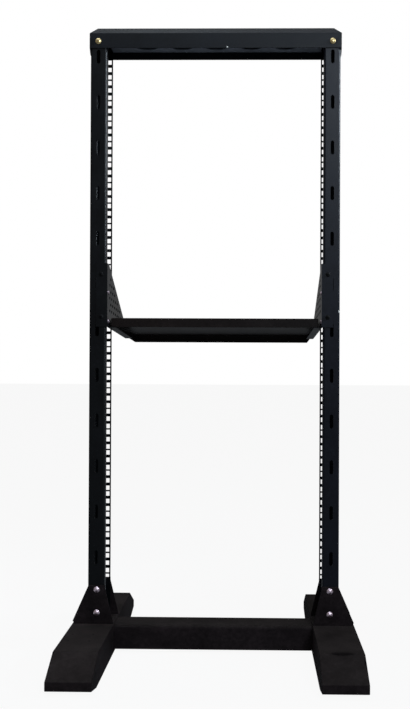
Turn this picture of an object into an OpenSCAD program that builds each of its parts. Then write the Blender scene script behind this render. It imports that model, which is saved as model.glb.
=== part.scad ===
// Two post open frame rack: two folded posts on long feet, a cap over the top,
// a beam between the feet and one shelf carried on side brackets.
// Millimetres. X is the width, Y the depth with the front at negative Y, Z is up.
// The origin is on the floor, at the middle of the rack's whole width and depth.

/* [Frame] */
// Rack units between the top of the feet and the cap
rack_units = 27; // [20:1:42]
// Width between the inner edges of the rails
rail_opening = 450; // [446:1:454]
// Width over the outer faces of the posts
frame_w = 522; // [518:1:540]
// Depth of a post
post_depth = 75; // [65:1:90]
// Thickness of the post and cap sheet
sheet_t = 2; // [1.5:0.1:2.5]
// Outer radius of the folds in a post
bend_r = 4; // [3:0.5:5]
// Depth of the lip behind the front flange
lip_depth = 18; // [12:1:24]

/* [Rail holes] */
// Side of a square rail hole
square_hole = 9.5; // [9:0.1:9.7]
// Length of a slot in the front flange
slot_len = 29; // [24:1:34]
// Width of a slot in the front flange
slot_w = 7.5; // [6:0.5:9]
// Number of slots in each front flange
slot_count = 12; // [8:1:12]
// Spacing of the slots
slot_pitch = 95; // [90:1:96]
// Distance of the slots from the outer face of the post
slot_inset = 16.5; // [14:0.5:18]
// Distance of the highest slot's centre below the cap
top_slot_drop = 17.5; // [16:0.5:24]

/* [Cap] */
// Height of the upright face of the cap
cap_face_h = 31; // [26:1:36]
// Height of the sloping border of the cap
cap_bevel_h = 15; // [10:1:20]
// Width of the sloping border of the cap
cap_bevel_w = 15; // [10:1:20]
// How far the end plates of the cap reach below its face
cap_end_drop = 12; // [8:1:20]
// Diameter of a cable hole
cable_hole_d = 50; // [40:1:56]
// Spacing of the cable holes
cable_hole_pitch = 74; // [66:1:80]

/* [Feet] */
// Length of a foot
foot_len = 610; // [580:5:700]
// Width of a foot
foot_w = 86; // [84:1:92]
// Distance of a foot's inner side from the outer face of the post
foot_inset = 54; // [48:1:56]
// Height of a foot
foot_h = 62; // [56:1:70]
// Length of the level top of a foot
foot_flat_len = 464; // [400:2:480]
// Height of the bottom edge of the toe
toe_low = 11; // [8:1:16]
// Height of the top edge of the toe
toe_high = 28; // [24:1:34]
// Length of foot that touches the floor
foot_ground_len = 500; // [400:2:520]
// Thickness of the foot sheet
foot_t = 3; // [2:0.1:3]

/* [Gussets] */
// Height of a gusset plate
gusset_h = 80; // [74:1:84]
// Thickness of a gusset plate
gusset_t = 3; // [2:0.1:4]
// Diameter of a gusset bolt's head
gusset_bolt_head_d = 13; // [11:0.5:15]

/* [Base beam] */
// Height of the base beam
beam_h = 50; // [40:1:54]
// Depth of the base beam
beam_depth = 72; // [50:1:75]
// How far the top of the beam lies below the top of the feet
beam_drop = 3; // [2:1:6]

/* [Shelf] */
// Height of the front lower edge of the shelf brackets
shelf_z = 680; // [400:1:900]
// Depth of the tray
tray_depth = 410; // [320:5:450]
// Height of the folded edges of the tray
tray_lip_h = 19; // [15:1:25]
// Distance of the tray's front behind the faces of the posts
tray_setback = 20; // [16:1:40]
// Gap between the tray and each bracket
tray_gap = 5; // [4:0.5:8]
// Slope of the shelf down to the rear, in degrees
shelf_slope = 3; // [0:0.5:4]
// Thickness of the shelf sheet
shelf_t = 1.5; // [1.2:0.1:2]
// Length of a bracket's lower edge
bracket_len = 295; // [240:5:310]
// Width of the flange that carries the tray on each bracket
ledge_w = 15; // [12:1:24]
// Width of a bracket's ear
ear_w = 22; // [20:1:26]
// Length of a vent slot in a bracket
vent_len = 14; // [8:1:16]
// Height of a vent slot in a bracket
vent_h = 6; // [4:0.5:7]

/* [Hidden] */
$fn = 48;
unit = 44.45;                         // one rack unit
hole_steps = [6.35, 22.225, 38.1];    // rail holes below the top of each unit
rail_hole_x = 465.1 / 2;              // half of the rack hole spacing
cut = 1;                              // overshoot of a cutting shape

post_x = frame_w / 2;                 // outer face of a post
rail_x = rail_opening / 2;            // inner edge of the rear flange
flange_x = rail_x + 1.5;              // inner edge of the front flange
front_y = -post_depth / 2;
rear_y = post_depth / 2;

cap_z = foot_h + rack_units * unit;   // lower edge of the cap's long faces
cap_top = cap_z + cap_face_h + cap_bevel_h;
cap_x = post_x + sheet_t;
cap_y = rear_y + sheet_t;
post_top = cap_z + cap_face_h - sheet_t;
web_z = cap_z + 16;                   // underside of the cable plate
cap_screw_z = cap_z + 14;
cap_screw_head_d = 12;
cap_screw_head_t = 3;
slot_x = post_x - slot_inset;         // centre line of the slots and cap screws
top_slot_z = cap_z - top_slot_drop;   // centre of the highest slot
cable_hole_count = 5;

foot_in = post_x - foot_inset;        // inner side of a foot
gusset_top = foot_h + gusset_h;
gusset_bolt_x = post_x - 19;
gusset_bolt_z = [foot_h + 23, foot_h + 71];
gusset_bolt_head_t = 4;
gusset_bolt_d = 8;
gusset_nut_w = 13;                    // across the flats
gusset_nut_t = 6.5;

beam_top = foot_h - beam_drop;
beam_z = beam_top - beam_h;
beam_t = 2.5;
beam_r = 8;

ear_h = 3 * unit - 0.85;              // height of a shelf ear
ear_x = rail_x + ear_w;               // outer edge of a shelf ear
ear_bolt_x = rail_x + ear_w / 2;
ear_bolt_z = [shelf_z + 21, shelf_z + 21 + 2 * unit];
ear_bolt_head_d = 9.5;
ear_bolt_head_t = 2.5;
ear_bolt_d = 6;
plate_x = rail_x - 0.3;               // outer face of a bracket's side plate
ear_y = front_y - shelf_t;            // front face of the shelf ears
plate_in = plate_x - shelf_t;         // inner face of a bracket's side plate
tray_x = plate_in - tray_gap;         // outer face of the tray
side_screw_y = front_y + lip_depth - 7;
side_screw_z = [shelf_z + 12, shelf_z + 72];
side_screw_head_d = 9;
side_screw_head_t = 2.5;
side_screw_d = 5;
bracket_flat = 22;                    // level part of a bracket's upper edge
bracket_tail = 24;                    // height of a bracket at its rear end
vent_pitch = 27;                      // spacing of the vent slots both ways
vent_rim = 9;                         // sheet left between a vent slot and an edge

// The shapes are drawn about the posts' own centre and placed by one shift along Y.
tray_rear = front_y + (tray_setback + tray_depth) * cos(shelf_slope) + (shelf_t + tray_lip_h) * sin(shelf_slope);
front_reach = max(foot_len / 2, -ear_y);
rear_reach = max(foot_len / 2, tray_rear);
post_y = (front_reach - rear_reach) / 2;
right = 1;
left = -1;
front = 1;
rear = -1;

// Puts a right front shape in its place, mirrored to the left or to the rear if asked.
module placed(side = right, end = front) {
    translate([0, post_y, 0]) mirror([(1 - side) / 2, 0, 0]) mirror([0, (1 - end) / 2, 0])
        children();
}

// A quarter ring that joins two sheet walls; quarter 0 lies at +X and +Y.
module fold(x, y, quarter, r, t) {
    translate([x, y]) rotate(90 * quarter) intersection() {
        difference() {
            circle(r);
            circle(r - t);
        }
        square(r);
    }
}

// A bar with round ends along Z, cut through a wall that faces Y.
module upright_slot(x, y, z, w, len, depth) {
    for (end = [-1, 1])
        translate([x, y, z + end * (len - w) / 2])
            rotate([90, 0, 0]) cylinder(h = depth, d = w, center = true);
    translate([x, y, z]) cube([w, depth, len - w], center = true);
}

// A round hole or pin along Y from y0 to y1.
module rod_y(x, y0, y1, z, d) {
    translate([x, y1, z]) rotate([90, 0, 0]) cylinder(h = y1 - y0, d = d);
}

// Section of the right post: a web outside, a lipped flange in front, a rail behind.
module post_section() {
    out = post_x - bend_r;
    in = flange_x + bend_r;
    translate([post_x - sheet_t, front_y + bend_r]) square([sheet_t, post_depth - 2 * bend_r]);
    translate([in, front_y]) square([out - in, sheet_t]);
    translate([flange_x, front_y + bend_r]) square([sheet_t, lip_depth - bend_r]);
    translate([rail_x, rear_y - sheet_t]) square([out - rail_x, sheet_t]);
    fold(out, front_y + bend_r, 3, bend_r, sheet_t);
    fold(in, front_y + bend_r, 2, bend_r, sheet_t);
    fold(out, rear_y - bend_r, 0, bend_r, sheet_t);
}

module post() {
    depth = 2 * sheet_t;
    difference() {
        translate([0, 0, foot_h]) linear_extrude(post_top - foot_h) post_section();
        for (u = [0:rack_units - 1], step = hole_steps)
            if (cap_z - u * unit - step > gusset_top)
                translate([rail_hole_x, rear_y - sheet_t / 2, cap_z - u * unit - step])
                    cube([square_hole, depth, square_hole], center = true);
        for (i = [0:slot_count - 1])
            upright_slot(slot_x, front_y, top_slot_z - i * slot_pitch, slot_w, slot_len, depth * 2);
        for (z = ear_bolt_z) rod_y(ear_bolt_x, front_y - cut, front_y + depth, z, ear_bolt_d);
        for (z = gusset_bolt_z) {
            rod_y(gusset_bolt_x, front_y - cut, front_y + depth, z, gusset_bolt_d);
            rod_y(gusset_bolt_x, rear_y - depth, rear_y + cut, z, gusset_bolt_d);
        }
        rod_y(slot_x, front_y - cut, front_y + depth, cap_screw_z, side_screw_d);
        rod_y(slot_x, rear_y - depth, rear_y + cut, cap_screw_z, side_screw_d);
        for (z = side_screw_z)
            translate([flange_x - cut, side_screw_y, z]) rotate([0, 90, 0])
                cylinder(h = sheet_t + 2 * cut, d = side_screw_d);
    }
}

module left_post() { color("#15171b") placed(left) post(); }
module right_post() { color("#2b2f38") placed() post(); }

// Side outline of a foot in Y and Z.
module foot_outline() {
    half = foot_len / 2;
    flat = foot_flat_len / 2;
    ground = foot_ground_len / 2;
    polygon([[-ground, 0], [-half, toe_low], [-half, toe_high], [-flat, foot_h],
        [flat, foot_h], [half, toe_high], [half, toe_low], [ground, 0]]);
}

// Hollow below the cover of a foot, one sheet thickness inside its outline.
module foot_hollow() {
    slope = atan2(foot_h - toe_high, (foot_len - foot_flat_len) / 2);
    half = foot_len / 2 - foot_t;
    toe = toe_high - foot_t * cos(slope) / (1 + sin(slope));
    flat = foot_flat_len / 2 - foot_t * sin(slope) / (1 + cos(slope));
    polygon([[-half, -cut], [-half, toe], [-flat, foot_h - foot_t],
        [flat, foot_h - foot_t], [half, toe], [half, -cut]]);
}

module along_x(x, len) {
    translate([x, 0, 0]) rotate([90, 0, 90]) linear_extrude(len) children();
}

module foot() {
    difference() {
        along_x(foot_in, foot_w) foot_outline();
        along_x(foot_in + foot_t, foot_w - 2 * foot_t) foot_hollow();
    }
}

module left_foot() { color("#2a2526") placed(left) foot(); }
module right_foot() { color("#2a2526") placed() foot(); }

// A folded channel, open below, with rounded upper edges.
module base_beam() {
    half = beam_depth / 2;
    color("#262122") placed() along_x(-foot_in, 2 * foot_in) {
        for (side = [-1, 1])
            translate([side * (half - beam_t / 2) - beam_t / 2, beam_z])
                square([beam_t, beam_h - beam_r]);
        translate([-half + beam_r, beam_top - beam_t]) square([beam_depth - 2 * beam_r, beam_t]);
        fold(half - beam_r, beam_top - beam_r, 0, beam_r, beam_t);
        fold(-half + beam_r, beam_top - beam_r, 1, beam_r, beam_t);
    }
}

// Front gusset on the right foot: a plate in front of the post, standing on the foot.
module gusset() {
    foot_out = foot_in + foot_w;
    corner = 6;
    inner_top = rail_x;
    difference() {
        translate([0, front_y, foot_h]) rotate([90, 0, 0]) linear_extrude(gusset_t)
            polygon([[foot_in, 0], [foot_out - corner, 0], [foot_out - 1, corner],
                [post_x + 1, gusset_h - corner], [post_x - 2, gusset_h],
                [inner_top, gusset_h], [inner_top, gusset_h - corner]]);
        for (z = gusset_bolt_z) rod_y(gusset_bolt_x, front_y - gusset_t - cut, front_y + cut, z, gusset_bolt_d);
    }
}

module left_front_gusset() { color("#221d1e") placed(left) gusset(); }
module right_front_gusset() { color("#221d1e") placed() gusset(); }
module left_rear_gusset() { color("#221d1e") placed(left, rear) gusset(); }
module right_rear_gusset() { color("#221d1e") placed(right, rear) gusset(); }

// A domed head on a wall that faces -Y at y, with its shank running to y + shank_len.
module domed_bolt(x, y, z, head_d, head_t, d, shank_len) {
    r = (pow(head_d / 2, 2) + pow(head_t, 2)) / (2 * head_t);
    translate([x, y, z]) rotate([90, 0, 0]) {
        intersection() {
            cylinder(h = head_t, d = head_d);
            translate([0, 0, head_t - r]) sphere(r);
        }
        translate([0, 0, -shank_len]) cylinder(h = shank_len + head_t / 4, d = d);
    }
}

// Bolts through a gusset and the post, each with a nut inside the post.
module gusset_bolts() {
    for (z = gusset_bolt_z, end = [0, 1])
        mirror([0, end, 0]) {
            domed_bolt(gusset_bolt_x, front_y - gusset_t, z, gusset_bolt_head_d,
                gusset_bolt_head_t, gusset_bolt_d, gusset_t + sheet_t);
            translate([gusset_bolt_x, front_y + sheet_t + gusset_nut_t, z]) rotate([90, 0, 0])
                cylinder(h = gusset_nut_t, d = gusset_nut_w / cos(30), $fn = 6);
        }
}

module left_gusset_bolts() { color("#d8ccd2") placed(left) gusset_bolts(); }
module right_gusset_bolts() { color("#d8ccd2") placed() gusset_bolts(); }

// Solid outline of the cap, drawn in by inset on every face but the lower one.
module cap_solid(inset, low) {
    y = cap_y - inset;
    x = cap_x - inset;
    top = cap_top - inset;
    shoulder = cap_z + cap_face_h - inset * 0.4;
    bevel = cap_bevel_w - inset * 0.4;
    intersection() {
        along_x(-cap_x - cut, 2 * (cap_x + cut))
            polygon([[-y, low], [y, low], [y, shoulder], [y - bevel, top],
                [-y + bevel, top], [-y, shoulder]]);
        translate([0, cap_y + cut, 0]) rotate([90, 0, 0]) linear_extrude(2 * (cap_y + cut))
            polygon([[-x, low], [x, low], [x, shoulder], [x - bevel, top],
                [-x + bevel, top], [-x, shoulder]]);
    }
}

// Sheet cap over the post tops, with a longer plate at each end.
module cap() {
    taper = 10;
    color("#2e3237") placed() difference() {
        union() {
            difference() {
                cap_solid(0, cap_z);
                cap_solid(sheet_t, cap_z - cut);
            }
            for (side = [-1, 1])
                along_x(side * (post_x + sheet_t / 2) - sheet_t / 2, sheet_t)
                    polygon([[-cap_y, cap_z + 5], [-cap_y, cap_z], [-cap_y + taper, cap_z - cap_end_drop],
                        [cap_y - taper, cap_z - cap_end_drop], [cap_y, cap_z], [cap_y, cap_z + 5]]);
        }
        for (side = [-1, 1]) {
            rod_y(side * slot_x, -cap_y - cut, -cap_y + 2 * sheet_t, cap_screw_z, side_screw_d);
            rod_y(side * slot_x, cap_y - 2 * sheet_t, cap_y + cut, cap_screw_z, side_screw_d);
        }
    }
}

// Channel inside the cap, between the posts, with the row of cable holes.
module cable_plate() {
    wall = 12;
    color("#23262a") placed() difference() {
        translate([-rail_x, front_y, web_z]) cube([2 * rail_x, post_depth, wall]);
        translate([-rail_x - cut, front_y + sheet_t, web_z + sheet_t])
            cube([2 * (rail_x + cut), post_depth - 2 * sheet_t, wall]);
        for (i = [0:cable_hole_count - 1])
            translate([(i - (cable_hole_count - 1) / 2) * cable_hole_pitch, 0, web_z - cut])
                cylinder(h = sheet_t + 2 * cut, d = cable_hole_d);
    }
}

module cap_screws() {
    for (end = [0, 1])
        mirror([0, end, 0])
            domed_bolt(slot_x, -cap_y, cap_screw_z, cap_screw_head_d, cap_screw_head_t,
                side_screw_d, 2 * sheet_t);
}

module left_cap_screws() { color("#b09a6a") placed(left) cap_screws(); }
module right_cap_screws() { color("#b09a6a") placed() cap_screws(); }

// How far the shelf has sunk at y behind its front.
function shelf_drop(y) = y * tan(shelf_slope);

// Side outline of a bracket: upright in front, a short level top, then a straight fall.
module bracket_outline() {
    tail = bracket_tail - shelf_drop(bracket_len);
    polygon([[0, 0], [bracket_len, -shelf_drop(bracket_len)], [bracket_len, tail],
        [bracket_flat, ear_h], [0, ear_h]]);
}

// Height of the bracket's upper edge at y behind its front.
function bracket_top(y) = ear_h - (ear_h + shelf_drop(bracket_len) - bracket_tail)
    * max(0, y - bracket_flat) / (bracket_len - bracket_flat);

// Staggered rows of vent slots between the tray and the upper edge.
module vents() {
    low = tray_lip_h + 2 * vent_rim;
    for (row = [0:floor(2 * ear_h / vent_pitch)], col = [0:floor(bracket_len / vent_pitch)]) {
        y = lip_depth + vent_rim + vent_len / 2 + (col + (row % 2) / 2) * vent_pitch;
        z = low + row * vent_pitch / 2 - shelf_drop(y);
        if (z + vent_h / 2 + vent_rim < bracket_top(y + vent_len / 2))
            translate([y, z]) {
                square([vent_len - vent_h, vent_h], center = true);
                for (end = [-1, 1])
                    translate([end * (vent_len - vent_h) / 2, 0]) circle(d = vent_h, $fn = 16);
            }
    }
}

// Right shelf bracket: an ear in front of the post, a vented side plate that narrows
// to the rear and a ledge that carries the tray.
module shelf_bracket() {
    difference() {
        union() {
            translate([plate_in, ear_y, shelf_z]) cube([ear_x - plate_in, shelf_t, ear_h]);
            translate([0, front_y, shelf_z]) along_x(plate_in, shelf_t) difference() {
                bracket_outline();
                vents();
            }
            translate([0, front_y, shelf_z]) rotate([-shelf_slope, 0, 0])
                translate([plate_in - ledge_w, tray_setback, 0])
                    cube([ledge_w + shelf_t, bracket_len - tray_setback, shelf_t]);
        }
        for (z = ear_bolt_z) rod_y(ear_bolt_x, ear_y - cut, front_y + cut, z, ear_bolt_d);
        for (z = side_screw_z)
            translate([plate_in - cut, side_screw_y, z]) rotate([0, 90, 0])
                cylinder(h = shelf_t + 2 * cut, d = side_screw_d);
    }
}

module left_shelf_bracket() { color("#3a4042") placed(left) shelf_bracket(); }
module right_shelf_bracket() { color("#3a4042") placed() shelf_bracket(); }

// Tray with a folded edge hanging on all four sides, standing on the brackets' ledges.
module shelf_tray() {
    color("#241f1e") placed() translate([0, front_y, shelf_z]) rotate([-shelf_slope, 0, 0])
        translate([0, tray_setback, shelf_t]) difference() {
            translate([-tray_x, 0, 0]) cube([2 * tray_x, tray_depth, tray_lip_h]);
            translate([-tray_x + shelf_t, shelf_t, -cut])
                cube([2 * (tray_x - shelf_t), tray_depth - 2 * shelf_t, tray_lip_h - shelf_t + cut]);
        }
}

module ear_bolts() {
    for (z = ear_bolt_z)
        domed_bolt(ear_bolt_x, ear_y, z, ear_bolt_head_d, ear_bolt_head_t, ear_bolt_d,
            shelf_t + sheet_t);
}

module left_ear_bolts() { color("#121315") placed(left) ear_bolts(); }
module right_ear_bolts() { color("#121315") placed() ear_bolts(); }

// Screws through a bracket's side plate into the post's lip, heads towards the shelf.
module side_screws() {
    for (z = side_screw_z)
        translate([plate_in, side_screw_y, z]) rotate([0, -90, 0]) {
            cylinder(h = side_screw_head_t, d = side_screw_head_d);
            translate([0, 0, plate_in - flange_x - sheet_t])
                cylinder(h = flange_x + sheet_t - plate_in + side_screw_head_t / 4, d = side_screw_d);
        }
}

module left_side_screws() { color("#9a9488") placed(left) side_screws(); }
module right_side_screws() { color("#9a9488") placed() side_screws(); }

left_post();
right_post();
left_foot();
right_foot();
base_beam();
left_front_gusset();
left_rear_gusset();
right_front_gusset();
right_rear_gusset();
left_gusset_bolts();
right_gusset_bolts();
cap();
cable_plate();
left_cap_screws();
right_cap_screws();
left_shelf_bracket();
right_shelf_bracket();
shelf_tray();
left_ear_bolts();
right_ear_bolts();
left_side_screws();
right_side_screws();
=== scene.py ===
"""Paint, screws and light for a two post open frame rack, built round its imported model.

It is laid out as an add-on: the property groups hold the sizes and colours, one operator
makes each group of like pieces, and the panel lists them. Lengths are metres.
"""

import math
import bmesh
import bpy
from bpy.props import FloatProperty, FloatVectorProperty, PointerProperty
from mathutils import Matrix, Vector


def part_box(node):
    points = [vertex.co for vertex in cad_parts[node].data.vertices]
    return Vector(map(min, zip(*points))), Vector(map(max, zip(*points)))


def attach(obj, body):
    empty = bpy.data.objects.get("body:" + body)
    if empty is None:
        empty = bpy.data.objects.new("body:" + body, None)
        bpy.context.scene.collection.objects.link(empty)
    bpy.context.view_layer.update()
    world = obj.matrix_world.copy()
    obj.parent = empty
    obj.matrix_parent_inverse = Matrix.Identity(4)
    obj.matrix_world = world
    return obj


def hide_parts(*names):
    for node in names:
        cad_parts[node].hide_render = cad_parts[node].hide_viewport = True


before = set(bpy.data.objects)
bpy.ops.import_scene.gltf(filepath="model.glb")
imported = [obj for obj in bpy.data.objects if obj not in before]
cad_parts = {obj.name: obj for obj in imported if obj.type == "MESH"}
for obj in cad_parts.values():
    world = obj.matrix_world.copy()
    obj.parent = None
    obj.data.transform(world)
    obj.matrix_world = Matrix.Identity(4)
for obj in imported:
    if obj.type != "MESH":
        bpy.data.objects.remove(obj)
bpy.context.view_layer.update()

bl_info = {
    "name": "Two post rack finish",
    "version": (1, 0, 0),
    "blender": (4, 5, 0),
    "location": "View3D > Sidebar > Rack",
    "description": "Finishes, screws and studio for a two post open frame rack",
    "category": "Object",
}

MM = 0.001
BODY = "root"
SIDES = ("left", "right")
ENDS = ("front", "rear")

SAME_POINT = 0.001 * MM   # points of one shape closer than this are merged
SHEET_SMOOTH = 15         # degrees past which an edge of folded sheet stays sharp
FLOOR_REACH = 30          # from the middle of the studio floor to its edges
FLOOR_WHITE = 0.93        # share of plain white in the floor that the camera sees
LAMP_COLOUR = (0.78, 0.89, 1.0)
CHIP_RADII = [1.6 * MM] * 3

# Each lamp's name, the studio value of its power, its place, where it aims, its width and
# its spread in degrees.
LAMPS = (
    ("key_lamp", "key_power", (1.1, -3.1, 2.3), (0, 0, 0.75), 1.35, 180),
    ("side_lamp", "side_power", (2.4, -0.5, 1.9), (0.26, -0.08, 1.15), 0.5, 36),
    ("top_lamp", "fill_power", (-0.3, -0.4, 3.0), (0, 0, 0.6), 2.0, 180),
)


def linear(hex_colour):
    """A colour written as sRGB hex, in linear light."""
    channels = [int(hex_colour[i:i + 2], 16) / 255 for i in (1, 3, 5)]
    return tuple(c / 12.92 if c <= 0.04045 else ((c + 0.055) / 1.055) ** 2.4 for c in channels)


def paint_colour(name, hex_colour, description):
    return FloatVectorProperty(
        name=name, description=description, subtype="COLOR", size=3, min=0, max=1,
        default=linear(hex_colour))


def length(name, millimetres, description):
    return FloatProperty(
        name=name, description=description, subtype="DISTANCE", unit="LENGTH",
        min=0, default=millimetres * MM)


class RackFinish(bpy.types.PropertyGroup):
    """Colours of the paints and platings."""

    left_post: paint_colour("Left post", "#050608", "Satin black powder coat of the left post")
    right_post: paint_colour("Right post", "#0a0c13", "Satin slate powder coat of the right post")
    cap: paint_colour("Cap", "#090b0f", "Satin slate powder coat of the cap")
    foot: paint_colour("Feet", "#1c1718", "Matt powder coat of the feet, beam and gussets")
    # Painted light: the cable plate's colour is much paler than its real dark coat, so that its
    # underside shows the light that reaches it from below.
    plate: paint_colour("Cable plate", "#666a72", "Powder coat of the plate inside the cap")
    tray: paint_colour("Tray", "#130e0d", "Powder coat of the shelf tray")
    dust: paint_colour("Dust", "#6e665f", "Dust that lies on faces that look up")
    primer: paint_colour("Primer", "#c9c9c4", "Pale primer that shows in paint chips")
    zinc: paint_colour("Zinc", "#d6c3cc", "Bright zinc plating")
    yellow_zinc: paint_colour("Yellow zinc", "#c9b483", "Yellow passivated zinc plating")
    black_oxide: paint_colour("Black oxide", "#050506", "Black oxide of the ear screws")


class RackHardware(bpy.types.PropertyGroup):
    """Sizes of the threads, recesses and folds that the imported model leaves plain."""

    thread_pitch: length("Thread pitch", 1.25, "Pitch of the gusset bolts' thread")
    thread_depth: length("Thread depth", 0.7, "Depth of the gusset bolts' thread")
    recess_width: length("Recess width", 1.3, "Width of a screw's cross recess")
    recess_depth: length("Recess depth", 1.7, "Depth of a screw's cross recess")
    fold_radius: length("Fold radius", 1.2, "Radius of the folded sheet's outer edges")


class RackSurface(bpy.types.PropertyGroup):
    """Grain of the powder coat. Real flecks are finer, and these are drawn coarse to show."""

    orange_peel: length("Orange peel", 2.2, "Width of one bump of the coat's orange peel")
    mottle: length("Mottle", 70, "Width of a lighter or darker patch")
    speck: length("Speck", 9, "Width of a fleck in the coat")


class RackStudio(bpy.types.PropertyGroup):
    """Camera, lamps and floor."""

    focal: FloatProperty(
        name="Focal length", description="Lens for a frame 36 mm on its long side",
        subtype="DISTANCE_CAMERA", min=10, default=48.0)
    eye: FloatVectorProperty(
        name="Eye", description="Place of the camera", subtype="XYZ", unit="LENGTH",
        default=(0.079, -2.048, 0.597))
    yaw: FloatProperty(
        name="Yaw", description="Turn of the camera to the left", subtype="ANGLE",
        default=math.radians(0.99))
    pitch: FloatProperty(
        name="Pitch", description="Tilt of the camera upwards", subtype="ANGLE",
        default=math.radians(0.37))
    roll: FloatProperty(
        name="Roll", description="Turn of the camera about its own axis", subtype="ANGLE",
        default=math.radians(0.25))
    shift: FloatVectorProperty(
        name="Shift", description="Shift of the lens across and up, as a share of the long side",
        size=2, default=(-0.0433, 0.0091))
    key_power: FloatProperty(
        name="Key lamp", description="Power of the large lamp in front on the right",
        subtype="POWER", unit="POWER", min=0, default=70)
    fill_power: FloatProperty(
        name="Fill lamp", description="Power of the lamp above the rack",
        subtype="POWER", unit="POWER", min=0, default=25)
    side_power: FloatProperty(
        name="Side lamp", description="Power of the lamp that lights the right post's outer fold",
        subtype="POWER", unit="POWER", min=0, default=8)
    ambient: FloatProperty(
        name="Ambient", description="Strength of the light from all round", min=0, default=0.12)
    mirrored: FloatProperty(
        name="Mirrored backdrop", description="Strength of the backdrop in glossy paint and metal",
        min=0, default=0.3)
    floor: FloatVectorProperty(
        name="Floor", description="Colour of the studio floor", subtype="COLOR", size=3,
        min=0, max=1, default=linear("#c4c4c4"))


GROUPS = {
    "rack_finish": RackFinish,
    "rack_hardware": RackHardware,
    "rack_surface": RackSurface,
    "rack_studio": RackStudio,
}


# Materials

def add(tree, kind, inputs=(), **settings):
    """Adds one node with its settings, its values and its links."""
    node = tree.nodes.new(kind)
    for name, value in settings.items():
        setattr(node, name, value)
    for key, value in dict(inputs).items():
        if isinstance(value, bpy.types.NodeSocket):
            tree.links.new(value, node.inputs[key])
        else:
            node.inputs[key].default_value = value
    return node


def new_material(name):
    material = bpy.data.materials.new(name)
    material.use_nodes = True
    tree = material.node_tree
    tree.nodes.clear()
    return material, tree


def mixed(tree, share, first, second):
    """A colour between two, as far over to the second as share says."""
    return add(tree, "ShaderNodeMix", {
        "Factor": share, "A": first, "B": second}, data_type="RGBA").outputs["Result"]


def shaded(colour, factor):
    """A colour made darker or lighter, with its alpha."""
    return (*[min(1, c * factor) for c in colour], 1)


def with_marks(tree, place, colour, marks):
    """Lays ragged chips, dark spots and patches of painted shade over a colour.

    marks holds a centre, the radii along X, Y and Z and a colour for each of them.
    """
    grain = 1.5 * MM
    inner, outer = 1.2, 1.5               # ragged distances at which a mark fades and ends
    ragged = add(tree, "ShaderNodeTexNoise", {"Vector": place, "Scale": 1 / grain, "Detail": 2})
    for centre, radii, mark in marks:
        offset = add(tree, "ShaderNodeVectorMath", {0: place, 1: centre}, operation="SUBTRACT")
        scaled = add(tree, "ShaderNodeVectorMath", {
            0: offset.outputs["Vector"], 1: radii}, operation="DIVIDE")
        away = add(tree, "ShaderNodeVectorMath", {0: scaled.outputs["Vector"]}, operation="LENGTH")
        torn = add(tree, "ShaderNodeMath", {
            0: away.outputs["Value"], 1: ragged.outputs["Fac"]}, operation="ADD")
        inside = add(tree, "ShaderNodeMapRange", {
            "Value": torn.outputs[0], "From Min": outer, "From Max": inner})
        colour = mixed(tree, inside.outputs["Result"], colour, (*mark, 1))
    return colour


def powder_coat(name, colour, roughness=0.37, gloss=0.13, dust=0.05, patchy=0.3, marks=()):
    """Powder coat on steel: baked on thick, so it shows orange peel, flecks and soft gloss.

    gloss is its specular level, dust the share of dust on a level face, patchy how far its
    tone strays either way, and marks its chips, dark spots and painted shade, as with_marks takes
    them.
    """
    scene = bpy.context.scene
    finish, surface = scene.rack_finish, scene.rack_surface
    tone_low, tone_high = 0.12, 0.4       # where the product of the two noises lies
    steepest = 0.3                        # upward part of the normal below which no dust lies
    smoother, duller = 0.05, 0.06         # how far the roughness strays
    peel_height = 0.1 * MM
    material, tree = new_material(name)
    place = add(tree, "ShaderNodeTexCoord").outputs["Object"]
    mottle = add(tree, "ShaderNodeTexNoise", {
        "Vector": place, "Scale": 1 / surface.mottle, "Detail": 4, "Roughness": 0.6})
    speck = add(tree, "ShaderNodeTexNoise", {
        "Vector": place, "Scale": 1 / surface.speck, "Detail": 5, "Roughness": 0.75})
    tone = add(tree, "ShaderNodeMath", {
        0: mottle.outputs["Fac"], 1: speck.outputs["Fac"]}, operation="MULTIPLY")
    share = add(tree, "ShaderNodeMapRange", {
        "Value": tone.outputs[0], "From Min": tone_low, "From Max": tone_high})
    coat = mixed(
        tree, share.outputs["Result"], shaded(colour, 1 - patchy), shaded(colour, 1 + patchy))
    facing = add(tree, "ShaderNodeNewGeometry").outputs["Normal"]
    upward = add(tree, "ShaderNodeSeparateXYZ", {"Vector": facing}).outputs["Z"]
    settled = add(tree, "ShaderNodeMapRange", {
        "Value": upward, "From Min": steepest, "From Max": 1.0, "To Max": dust})
    drifted = add(tree, "ShaderNodeMath", {
        0: settled.outputs["Result"], 1: mottle.outputs["Fac"]}, operation="MULTIPLY")
    coat = mixed(tree, drifted.outputs[0], coat, (*finish.dust, 1))
    if marks:
        coat = with_marks(tree, place, coat, marks)
    rough = add(tree, "ShaderNodeMapRange", {
        "Value": share.outputs["Result"], "To Min": roughness - smoother,
        "To Max": roughness + duller})
    peel = add(tree, "ShaderNodeTexNoise", {
        "Vector": place, "Scale": 1 / surface.orange_peel, "Detail": 1})
    bump = add(tree, "ShaderNodeBump", {
        "Height": peel.outputs["Fac"], "Strength": 0.12, "Distance": peel_height})
    paint = add(tree, "ShaderNodeBsdfPrincipled", {
        "Base Color": coat, "Roughness": rough.outputs["Result"],
        "Specular IOR Level": gloss, "Normal": bump.outputs["Normal"]})
    add(tree, "ShaderNodeOutputMaterial", {"Surface": paint.outputs["BSDF"]})
    return material


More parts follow.
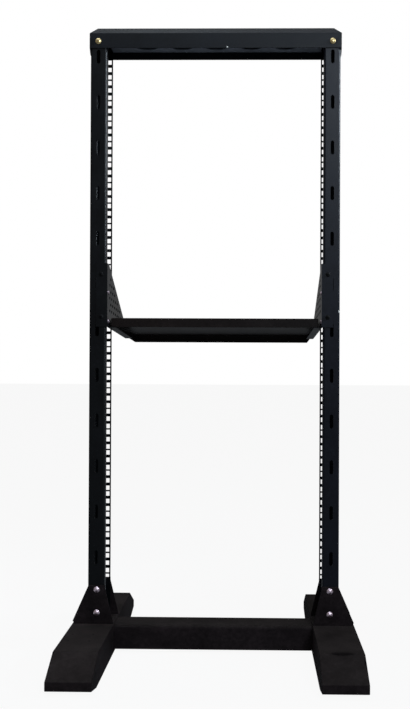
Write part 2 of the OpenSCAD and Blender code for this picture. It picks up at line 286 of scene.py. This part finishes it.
def finished_steel(name, colour, roughness=0.3, metallic=1.0, gloss=0.5):
    """Zinc plated or blackened steel: cold formed, so it is smooth with faint marks and spots."""
    spot, mark_height = 3 * MM, 0.02 * MM
    smoother, duller = 0.08, 0.1          # how far the roughness strays
    material, tree = new_material(name)
    place = add(tree, "ShaderNodeTexCoord").outputs["Object"]
    spots = add(tree, "ShaderNodeTexNoise", {
        "Vector": place, "Scale": 1 / spot, "Detail": 3, "Roughness": 0.6})
    tint = mixed(tree, spots.outputs["Fac"], shaded(colour, 0.7), shaded(colour, 1.15))
    rough = add(tree, "ShaderNodeMapRange", {
        "Value": spots.outputs["Fac"], "To Min": roughness - smoother,
        "To Max": roughness + duller})
    marks = add(tree, "ShaderNodeBump", {
        "Height": spots.outputs["Fac"], "Strength": 0.2, "Distance": mark_height})
    metal = add(tree, "ShaderNodeBsdfPrincipled", {
        "Base Color": tint, "Metallic": metallic, "Specular IOR Level": gloss,
        "Roughness": rough.outputs["Result"], "Normal": marks.outputs["Normal"]})
    add(tree, "ShaderNodeOutputMaterial", {"Surface": metal.outputs["BSDF"]})
    return material


# Shapes

def linked(name, mesh):
    """Puts a mesh in the scene as an object at the origin."""
    part = bpy.data.objects.new(name, mesh)
    bpy.context.scene.collection.objects.link(part)
    return part


def drawn(name, bm):
    """Makes an object of a bmesh as it is. The bmesh goes."""
    mesh = bpy.data.meshes.new(name)
    bm.to_mesh(mesh)
    bm.free()
    return linked(name, mesh)


def mesh_object(name, bm, material=None):
    """Makes an object of a bmesh, with its doubles merged and its faces turned outwards."""
    bmesh.ops.remove_doubles(bm, verts=bm.verts, dist=SAME_POINT)
    bmesh.ops.recalc_face_normals(bm, faces=bm.faces)
    part = drawn(name, bm)
    if material:
        part.data.materials.append(material)
    return part


def take_off(part):
    """Removes a helper object and its mesh."""
    mesh = part.data
    bpy.data.objects.remove(part)
    bpy.data.meshes.remove(mesh)


def applied(part):
    """A plain mesh object of the same name, with the part's modifiers applied. The part goes."""
    evaluated = part.evaluated_get(bpy.context.evaluated_depsgraph_get())
    mesh = bpy.data.meshes.new_from_object(evaluated)
    name = part.name
    take_off(part)
    return linked(name, mesh)


def finish_piece(part, *nodes, slot=None, smooth=35):
    """Smooths a piece, hides the imported nodes that it stands for and sets it on the rack."""
    part.data.shade_smooth()
    part.data.set_sharp_from_angle(angle=math.radians(smooth))
    part.data.update()
    if nodes:
        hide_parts(*nodes)
    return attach(part, BODY)


def lathe(bm, outline, steps=32):
    """Turns an outline of (radius, y) points round the Y axis into a closed skin."""
    rings = []
    for radius, y in outline:
        if radius == 0:
            rings.append([bm.verts.new((0, y, 0))])
            continue
        turns = [2 * math.pi * i / steps for i in range(steps)]
        rings.append([bm.verts.new((radius * math.cos(a), y, radius * math.sin(a))) for a in turns])
    for low, high in zip(rings, rings[1:]):
        for i in range(steps):
            j = (i + 1) % steps
            corners = [low[i % len(low)], low[j % len(low)], high[j % len(high)], high[i % len(high)]]
            corners = list(dict.fromkeys(corners))
            if len(corners) > 2:
                bm.faces.new(corners)


def dome(diameter, height, rim, steps=8):
    """Outline of a domed head from its crown down to its rim at y 0, head towards -Y."""
    half = diameter / 2
    rise = height - rim
    radius = (half ** 2 + rise ** 2) / (2 * rise)
    sweep = math.asin(half / radius)
    turns = [sweep * i / steps for i in range(steps + 1)]
    crown = [(radius * math.sin(a), -rim - radius * (math.cos(a) - math.cos(sweep)))
             for a in turns]
    chamfer = 0.15 * rim
    return crown + [(half, -chamfer), (half - chamfer, 0)]


def threaded_rod(bm, diameter, pitch, depth, start, end, steps=24):
    """A rod along Y whose skin rises and falls as a helical thread."""
    rows = max(4, round(4 * (end - start) / pitch))
    rings = []
    for row in range(rows + 1):
        y = start + (end - start) * row / rows
        ring = []
        for i in range(steps):
            phase = (y / pitch - i / steps) % 1
            radius = diameter / 2 - depth * abs(2 * phase - 1)
            turn = 2 * math.pi * i / steps
            ring.append(bm.verts.new((radius * math.cos(turn), y, radius * math.sin(turn))))
        rings.append(ring)
    for low, high in zip(rings, rings[1:]):
        for i in range(steps):
            j = (i + 1) % steps
            bm.faces.new((low[i], low[j], high[j], high[i]))
    bm.faces.new(rings[0])
    bm.faces.new(rings[-1])


def hex_nut(bm, width, bore, start, end, steps=48):
    """A hexagon nut along Y with a bore and corners turned down at 30 degrees."""
    apothem = width / 2
    turned = apothem * 0.98               # radius of the flat ring that the turning leaves
    least = 0.02 * MM                     # drop where the turning meets a flat
    slope = math.tan(math.radians(30))
    outer = []
    for i in range(steps):
        turn = 2 * math.pi * i / steps
        reach = apothem / math.cos((turn + math.pi / 6) % (math.pi / 3) - math.pi / 6)
        outer.append((turn, reach, max(0, reach - turned) * slope + least))
    levels = [
        [(t, min(r, turned), start) for t, r, drop in outer],
        [(t, r, start + drop) for t, r, drop in outer],
        [(t, r, end - drop) for t, r, drop in outer],
        [(t, min(r, turned), end) for t, r, drop in outer],
        [(t, bore / 2, end) for t, r, drop in outer],
        [(t, bore / 2, start) for t, r, drop in outer],
    ]
    rings = [[bm.verts.new((r * math.cos(t), y, r * math.sin(t))) for t, r, y in level]
             for level in levels]
    for low, high in zip(rings, rings[1:] + rings[:1]):
        for i in range(steps):
            j = (i + 1) % steps
            bm.faces.new((low[i], low[j], high[j], high[i]))


def cross_recess(name, head_top, width, reach, depth):
    """The tapered cross that a driver bit leaves in a screw's head at y head_top."""
    overshoot, taper = 1 * MM, 0.45
    bm = bmesh.new()
    for turn in (0, 90):
        rings = []
        for y, scale in ((head_top - overshoot, 1.0), (head_top + depth, taper)):
            half_long, half_wide = reach / 2 * scale, width / 2 * scale
            rings.append([bm.verts.new((x, y, z)) for x, z in (
                (-half_long, -half_wide), (half_long, -half_wide),
                (half_long, half_wide), (-half_long, half_wide))])
        for i in range(4):
            j = (i + 1) % 4
            bm.faces.new((rings[0][i], rings[0][j], rings[1][j], rings[1][i]))
        for ring in rings:
            bm.faces.new(ring)
        made = [v for ring in rings for v in ring]
        bmesh.ops.rotate(bm, verts=made, matrix=Matrix.Rotation(math.radians(turn), 3, "Y"))
    bmesh.ops.recalc_face_normals(bm, faces=bm.faces)
    return drawn(name, bm)


def cross_head_screw(name, head_d, head_t, shank_d, shank_len):
    """A pan head screw with a cross recess, head towards -Y."""
    hardware = bpy.context.scene.rack_hardware
    rim = 0.45 * head_t
    bm = bmesh.new()
    outline = dome(head_d, head_t, rim)
    lathe(bm, outline + [(shank_d / 2, 0), (shank_d / 2, shank_len), (0, shank_len)])
    screw = mesh_object(name, bm)
    recess = cross_recess(
        name + "_recess", -head_t, hardware.recess_width, 0.55 * head_d,
        min(hardware.recess_depth, 0.8 * head_t))
    cut = screw.modifiers.new("recess", "BOOLEAN")
    cut.operation = "DIFFERENCE"
    cut.solver = "EXACT"
    cut.use_self = True
    cut.object = recess
    done = applied(screw)
    take_off(recess)
    return done


def hardware_tree():
    """Node tree that sets one fastener along a row, and again turned round on the far side."""
    tree = bpy.data.node_groups.new("fastener_row", "GeometryNodeTree")
    sockets = (
        ("Fastener", "NodeSocketObject"), ("Start", "NodeSocketVector"),
        ("Step", "NodeSocketVector"), ("Count", "NodeSocketInt"),
        ("Turn", "NodeSocketVector"), ("Across", "NodeSocketVector"),
        ("Sides", "NodeSocketInt"), ("Plating", "NodeSocketMaterial"))
    for name, kind in sockets:
        tree.interface.new_socket(name=name, in_out="INPUT", socket_type=kind)
    tree.interface.new_socket(name="Geometry", in_out="OUTPUT", socket_type="NodeSocketGeometry")
    given = add(tree, "NodeGroupInput").outputs
    fastener = add(tree, "GeometryNodeObjectInfo", {"Object": given["Fastener"]})
    row = add(tree, "GeometryNodeMeshLine", {
        "Count": given["Count"], "Start Location": given["Start"], "Offset": given["Step"]})
    near = add(tree, "GeometryNodeInstanceOnPoints", {
        "Points": row.outputs["Mesh"], "Instance": fastener.outputs["Geometry"],
        "Rotation": given["Turn"]})
    half_turn = add(tree, "ShaderNodeVectorMath", {
        0: given["Turn"], 1: (0, 0, math.pi)}, operation="ADD")
    moved = add(tree, "GeometryNodeSetPosition", {
        "Geometry": row.outputs["Mesh"], "Offset": given["Across"]})
    far = add(tree, "GeometryNodeInstanceOnPoints", {
        "Points": moved.outputs["Geometry"], "Instance": fastener.outputs["Geometry"],
        "Rotation": half_turn.outputs["Vector"]})
    two_sided = add(tree, "FunctionNodeCompare", {
        "A": given["Sides"], "B": 1}, data_type="INT", operation="GREATER_THAN")
    if_far = add(tree, "GeometryNodeSwitch", {
        "Switch": two_sided.outputs["Result"], "True": far.outputs["Instances"]},
        input_type="GEOMETRY")
    both = add(tree, "GeometryNodeJoinGeometry")
    tree.links.new(near.outputs["Instances"], both.inputs["Geometry"])
    tree.links.new(if_far.outputs["Output"], both.inputs["Geometry"])
    real = add(tree, "GeometryNodeRealizeInstances", {"Geometry": both.outputs["Geometry"]})
    plated = add(tree, "GeometryNodeSetMaterial", {
        "Geometry": real.outputs["Geometry"], "Material": given["Plating"]})
    add(tree, "NodeGroupOutput", {"Geometry": plated.outputs["Geometry"]})
    return tree


def fastener_row(name, fastener, material, start, step=(0, 0, 0), count=1, turn=(0, 0, 0),
                 across=(0, 0, 0), sides=1):
    """One piece that holds every fastener of a row, as a plain mesh."""
    tree = bpy.data.node_groups.get("fastener_row") or hardware_tree()
    base = linked(name, bpy.data.meshes.new(name))
    modifier = base.modifiers.new("row", "NODES")
    modifier.node_group = tree
    values = {
        "Fastener": fastener, "Start": tuple(start), "Step": tuple(step), "Count": count,
        "Turn": tuple(turn), "Across": tuple(across), "Sides": sides, "Plating": material}
    for item in tree.interface.items_tree:
        if item.in_out == "INPUT":
            modifier[item.identifier] = values[item.name]
    return applied(base)


def folded_sheet(name, node, material, radius, segments=3):
    """A copy of a sheet node with its doubles merged and its folded edges rounded."""
    bm = bmesh.new()
    bm.from_mesh(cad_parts[node].data)
    bmesh.ops.remove_doubles(bm, verts=bm.verts, dist=10 * SAME_POINT)
    bmesh.ops.dissolve_limit(
        bm, angle_limit=math.radians(0.5), verts=bm.verts, edges=bm.edges,
        use_dissolve_boundaries=False)
    part = drawn(name, bm)
    part.data.materials.append(material)
    bevel = part.modifiers.new("folds", "BEVEL")
    bevel.width = radius
    bevel.segments = segments
    bevel.limit_method = "ANGLE"
    bevel.angle_limit = math.radians(30)
    return applied(part)


def paint_node(node, material):
    """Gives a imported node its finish."""
    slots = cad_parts[node].data.materials
    slots.clear()
    slots.append(material)


def centre_of(node):
    """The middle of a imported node."""
    low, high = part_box(node)
    return (low + high) / 2


class RACK_OT_posts(bpy.types.Operator):
    """Powder coats both posts and their shelf brackets, with a chip on the right post's fold"""

    bl_idname = "rack.posts"
    bl_label = "Posts"

    def execute(self, context):
        finish = context.scene.rack_finish
        low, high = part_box("right_post")
        chip_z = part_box("right_shelf_bracket")[0].z + 49 * MM
        chip = ((high.x - 1.5 * MM, low.y + 1 * MM, chip_z), CHIP_RADII, finish.primer)
        black = powder_coat("black_powder_coat", finish.left_post)
        slate = powder_coat("slate_powder_coat", finish.right_post, marks=[chip])
        for side, coat in zip(SIDES, (black, slate)):
            paint_node(side + "_post", coat)
            paint_node(side + "_shelf_bracket", coat)
        return {"FINISHED"}


class RACK_OT_feet(bpy.types.Operator):
    """Feet, base beam and gussets in matt powder coat, with painted shade of a dent and a notch on
    the right foot and four dark spots on the left foot
    """

    bl_idname = "rack.feet"
    bl_label = "Feet and gussets"

    def execute(self, context):
        finish = context.scene.rack_finish
        # Darker foot colour for the marks below: painted shade of a dent and a notch on the right
        # foot, and four dark spots on the left foot.
        dark_mark_colour = tuple(0.4 * c for c in finish.foot)
        inside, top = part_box("left_foot")[1].xz
        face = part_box("left_post")[0].y
        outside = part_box("right_foot")[1].x
        # Four dark spots in a grid on the left foot's top.
        dark_spots = [((inside - aside * MM, face - ahead * MM, top), [2.6 * MM] * 3, dark_mark_colour)
                  for aside in (28.5, 70) for ahead in (80, 126)]
        # Painted shade: a soft dark smear stands in for the shade of a dent at the right foot's front
        # fold.
        dent_shade = ((outside - 43 * MM, face - 192 * MM, top), (26 * MM, 9 * MM, 6 * MM), dark_mark_colour)
        # Painted shade: a dark patch on the right foot's outer edge stands in for the shade of a
        # notch in it.
        notch_shade = ((outside, face - 212 * MM, top - 11 * MM), (5 * MM, 16 * MM, 10 * MM), dark_mark_colour)
        coat = powder_coat(
            "matt_powder_coat", finish.foot, roughness=0.8, gloss=0.04, dust=0.14, patchy=0.55,
            marks=[*dark_spots, dent_shade, notch_shade])
        radius = 2 * context.scene.rack_hardware.fold_radius
        plate_edge = 0.4 * MM
        for side in SIDES:
            foot = folded_sheet(side + "_foot_shell", side + "_foot", coat, radius)
            finish_piece(foot, side + "_foot", slot="foot_black", smooth=SHEET_SMOOTH)
            for end in ENDS:
                node = f"{side}_{end}_gusset"
                plate = folded_sheet(node + "_plate", node, coat, plate_edge, 2)
                finish_piece(plate, node, slot="foot_black", smooth=SHEET_SMOOTH)
        paint_node("base_beam", coat)
        return {"FINISHED"}


class RACK_OT_cap(bpy.types.Operator):
    """Cap in satin powder coat, and the cable plate in a paler coat that paints in the light reaching
    its underside from below
    """

    bl_idname = "rack.cap"
    bl_label = "Cap"

    def execute(self, context):
        finish = context.scene.rack_finish
        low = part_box("cap")[0]
        chip = (25 * MM, low.y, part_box("left_cap_screws")[0].z - 6 * MM)
        coat = powder_coat(
            "cap_powder_coat", finish.cap, roughness=0.48, gloss=0.13, dust=0.07,
            marks=[(chip, CHIP_RADII, finish.primer)])
        cap = folded_sheet("cap_shell", "cap", coat, context.scene.rack_hardware.fold_radius)
        finish_piece(cap, "cap", slot="cap_slate", smooth=SHEET_SMOOTH)
        # Painted light: the plate's pale coat stands in for the light from below on its underside.
        paint_node("cable_plate", powder_coat("plate_powder_coat", finish.plate))
        return {"FINISHED"}


class RACK_OT_shelf(bpy.types.Operator):
    """Shelf tray, and dark sheets close behind the brackets' vent slots that paint the shade seen
    through the slots
    """

    bl_idname = "rack.shelf"
    bl_label = "Shelf"

    def execute(self, context):
        finish = context.scene.rack_finish
        coat = powder_coat("tray_powder_coat", finish.tray, gloss=0.06, dust=0.1)
        thin_fold = 0.7 * MM
        tray = folded_sheet("tray_sheet", "shelf_tray", coat, thin_fold)
        finish_piece(tray, "shelf_tray", slot="tray_black", smooth=SHEET_SMOOTH)
        # Painted shade: a black sheet behind each bracket's vent slots makes the slots look dark.
        black = powder_coat("vent_powder_coat", finish.left_post)
        for side, sign in zip(SIDES, (-1, 1)):
            shade_sheet = self.vent_shade_sheet(side, sign, black)
            finish_piece(shade_sheet, slot="shelf_grey")
        return {"FINISHED"}

    def vent_shade_sheet(self, side, sign, material):
        """A dark sheet close behind a bracket's vent slots, as painted shade seen through them."""
        low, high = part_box(side + "_shelf_bracket")
        rail = abs(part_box(side + "_post")[1 if side == "left" else 0].x)
        thick, rim = 0.25 * MM, 5 * MM
        front, back = low.y + 20 * MM, high.y - rim
        front_low, back_high = low.z + 20 * MM, low.z + 25 * MM
        outline = [(front, front_low), (back, low.z + rim), (back, back_high),
                   (front, high.z - 2 * rim)]
        bm = bmesh.new()
        faces = [[bm.verts.new((sign * (rail - gap), y, z)) for y, z in outline]
                 for gap in (0, thick)]
        for face in faces:
            bm.faces.new(face)
        for i in range(len(outline)):
            j = (i + 1) % len(outline)
            bm.faces.new((faces[0][i], faces[0][j], faces[1][j], faces[1][i]))
        return mesh_object(side + "_vent_screen", bm, material)


class RACK_OT_gusset_bolts(bpy.types.Operator):
    """Domed bolts through the gussets, with their nuts inside the posts"""

    bl_idname = "rack.gusset_bolts"
    bl_label = "Gusset bolts"

    def execute(self, context):
        hardware = context.scene.rack_hardware
        zinc = finished_steel("bright_zinc", context.scene.rack_finish.zinc, roughness=0.34)
        head_d, head_t, rim, bolt_d = 13 * MM, 4 * MM, 0.9 * MM, 8 * MM
        nut_w, nut_t, grip = 13 * MM, 6.5 * MM, 5 * MM
        overlap, past_nut, nut_gap = 1 * MM, 2.5 * MM, 0.05 * MM
        for side in SIDES:
            node = side + "_gusset_bolts"
            low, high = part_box(node)
            bm = bmesh.new()
            lathe(bm, dome(head_d, head_t, rim) + [(bolt_d / 2, 0), (bolt_d / 2, grip), (0, grip)])
            threaded_rod(
                bm, bolt_d, hardware.thread_pitch, hardware.thread_depth, grip - overlap,
                grip + nut_t + past_nut)
            hex_nut(bm, nut_w, bolt_d - hardware.thread_depth, grip + nut_gap, grip + nut_t)
            bolt = mesh_object(side + "_bolt", bm)
            face = low.y + head_t
            bottom, top = low.z + nut_w / 2, high.z - nut_w / 2
            piece = fastener_row(
                node + "_zinc", bolt, zinc, (centre_of(node).x, face, bottom),
                step=(0, 0, top - bottom), count=2, across=(0, high.y - head_t - face, 0), sides=2)
            take_off(bolt)
            finish_piece(piece, node, slot="zinc")
        return {"FINISHED"}


class RACK_OT_cap_screws(bpy.types.Operator):
    """Yellow zinc screws that hold the cap to the posts"""

    bl_idname = "rack.cap_screws"
    bl_label = "Cap screws"

    def execute(self, context):
        plating = finished_steel("yellow_zinc_plate", context.scene.rack_finish.yellow_zinc, 0.28)
        head_t, shank_d, shank_len = 3 * MM, 5 * MM, 8 * MM
        for side, turn in zip(SIDES, (20, 65)):
            node = side + "_cap_screws"
            low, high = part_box(node)
            screw = cross_head_screw(
                side + "_cap_screw", high.x - low.x, head_t, shank_d, shank_len)
            face = low.y + head_t
            middle = centre_of(node)
            piece = fastener_row(
                node + "_zinc", screw, plating, (middle.x, face, middle.z),
                turn=(0, math.radians(turn), 0),
                across=(0, high.y - head_t - face, 0), sides=2)
            take_off(screw)
            finish_piece(piece, node, slot="yellow_zinc")
        return {"FINISHED"}


class RACK_OT_shelf_screws(bpy.types.Operator):
    """Black ear screws and plated side screws of the shelf brackets"""

    bl_idname = "rack.shelf_screws"
    bl_label = "Shelf screws"

    def execute(self, context):
        finish = context.scene.rack_finish
        black = finished_steel("black_oxide_steel", finish.black_oxide, 0.6, metallic=0, gloss=0.08)
        zinc = finished_steel("dull_zinc", finish.zinc, 0.3)
        head_t = 2.5 * MM
        for side, inward in zip(SIDES, (1, -1)):
            node = side + "_ear_bolts"
            low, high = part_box(node)
            head_d = high.x - low.x
            screw = cross_head_screw(side + "_ear_screw", head_d, head_t, 6 * MM, 9 * MM)
            bottom, top = low.z + head_d / 2, high.z - head_d / 2
            piece = fastener_row(
                node + "_black", screw, black, (centre_of(node).x, low.y + head_t, bottom),
                step=(0, 0, top - bottom), count=2)
            take_off(screw)
            finish_piece(piece, node, slot="black_screw")
            node = side + "_side_screws"
            low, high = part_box(node)
            head_d = high.y - low.y
            screw = cross_head_screw(side + "_side_screw", head_d, head_t, 5 * MM, 8 * MM)
            face = high.x - head_t if inward > 0 else low.x + head_t
            bottom, top = low.z + head_d / 2, high.z - head_d / 2
            piece = fastener_row(
                node + "_zinc", screw, zinc, (face, centre_of(node).y, bottom),
                step=(0, 0, top - bottom), count=2, turn=(0, 0, inward * math.pi / 2))
            take_off(screw)
            finish_piece(piece, node, slot="zinc")
        return {"FINISHED"}


class RACK_OT_studio(bpy.types.Operator):
    """Pale floor, soft lamps and the camera"""

    bl_idname = "rack.studio"
    bl_label = "Studio"

    def execute(self, context):
        scene = context.scene
        studio = scene.rack_studio
        scene.view_settings.view_transform = "Standard"
        camera = bpy.data.objects.new("camera", bpy.data.cameras.new("camera"))
        camera.data.lens = studio.focal
        camera.data.shift_x, camera.data.shift_y = studio.shift
        camera.matrix_world = (
            Matrix.Translation(studio.eye) @ Matrix.Rotation(studio.yaw, 4, "Z")
            @ Matrix.Rotation(math.pi / 2 + studio.pitch, 4, "X")
            @ Matrix.Rotation(studio.roll, 4, "Z"))
        scene.collection.objects.link(camera)
        scene.camera = camera
        self.floor(studio)
        self.world(scene, studio)
        for name, power, *setting in LAMPS:
            self.lamp(name, getattr(studio, power), *setting)
        return {"FINISHED"}

    def floor(self, studio):
        """A level floor that the camera sees almost white and that still takes shadows."""
        bm = bmesh.new()
        bmesh.ops.create_grid(bm, x_segments=1, y_segments=1, size=FLOOR_REACH)
        material, tree = new_material("studio_floor")
        seen = add(tree, "ShaderNodeLightPath").outputs["Is Camera Ray"]
        lit = add(tree, "ShaderNodeBsdfDiffuse", {"Color": (*studio.floor, 1)})
        glow = add(tree, "ShaderNodeEmission", {"Color": (1, 1, 1, 1), "Strength": 1})
        share = add(tree, "ShaderNodeMath", {0: seen, 1: FLOOR_WHITE}, operation="MULTIPLY")
        shown = add(tree, "ShaderNodeMixShader", {
            0: share.outputs[0], 1: lit.outputs["BSDF"], 2: glow.outputs["Emission"]})
        add(tree, "ShaderNodeOutputMaterial", {"Surface": shown.outputs["Shader"]})
        mesh_object("studio_floor", bm, material)

    def world(self, scene, studio):
        """White for the camera and through clear things, dimmer in glossy faces, faint as light."""
        scene.world = bpy.data.worlds.new("studio")
        scene.world.use_nodes = True
        tree = scene.world.node_tree
        tree.nodes.clear()
        path = add(tree, "ShaderNodeLightPath").outputs
        seen = add(tree, "ShaderNodeMath", {
            0: path["Is Camera Ray"], 1: path["Is Transmission Ray"]}, operation="MAXIMUM")
        mirrored = add(tree, "ShaderNodeMath", {
            0: path["Is Glossy Ray"], 1: studio.mirrored - studio.ambient}, operation="MULTIPLY")
        lit = add(tree, "ShaderNodeMath", {0: mirrored.outputs[0], 1: studio.ambient})
        strength = add(tree, "ShaderNodeMapRange", {
            "Value": seen.outputs[0], "To Min": lit.outputs[0], "To Max": 1.0})
        sky = add(tree, "ShaderNodeBackground", {
            "Color": (1, 1, 1, 1), "Strength": strength.outputs["Result"]})
        add(tree, "ShaderNodeOutputWorld", {"Surface": sky.outputs["Background"]})

    def lamp(self, name, power, place, aim, size, spread):
        """A square lamp that faces the point it aims at."""
        lamp = bpy.data.objects.new(name, bpy.data.lights.new(name, "AREA"))
        lamp.data.size = size
        lamp.data.energy = power
        lamp.data.color = LAMP_COLOUR
        lamp.data.spread = math.radians(spread)
        lamp.location = place
        lamp.rotation_euler = (Vector(aim) - Vector(place)).to_track_quat("-Z", "Y").to_euler()
        bpy.context.scene.collection.objects.link(lamp)


class RACK_PT_panel(bpy.types.Panel):
    """Lists the rack's pieces and their sizes"""

    bl_idname = "RACK_PT_panel"
    bl_label = "Two post rack"
    bl_space_type = "VIEW_3D"
    bl_region_type = "UI"
    bl_category = "Rack"

    def draw(self, context):
        for operator in OPERATORS:
            self.layout.operator(operator.bl_idname)
        for name in GROUPS:
            group = getattr(context.scene, name)
            box = self.layout.box()
            for key in group.__annotations__:
                box.prop(group, key)


OPERATORS = (
    RACK_OT_studio, RACK_OT_posts, RACK_OT_feet, RACK_OT_cap, RACK_OT_shelf,
    RACK_OT_gusset_bolts, RACK_OT_cap_screws, RACK_OT_shelf_screws)


def register():
    for group in GROUPS.values():
        bpy.utils.register_class(group)
    for name, group in GROUPS.items():
        setattr(bpy.types.Scene, name, PointerProperty(type=group))
    for kind in (*OPERATORS, RACK_PT_panel):
        bpy.utils.register_class(kind)


def unregister():
    for kind in (RACK_PT_panel, *reversed(OPERATORS)):
        bpy.utils.unregister_class(kind)
    for name, group in reversed(GROUPS.items()):
        delattr(bpy.types.Scene, name)
        bpy.utils.unregister_class(group)


def main():
    """Makes the whole scene."""
    register()
    for operator in OPERATORS:
        group, action = operator.bl_idname.split(".")
        getattr(getattr(bpy.ops, group), action)()


if __name__ == "__main__":
    main()
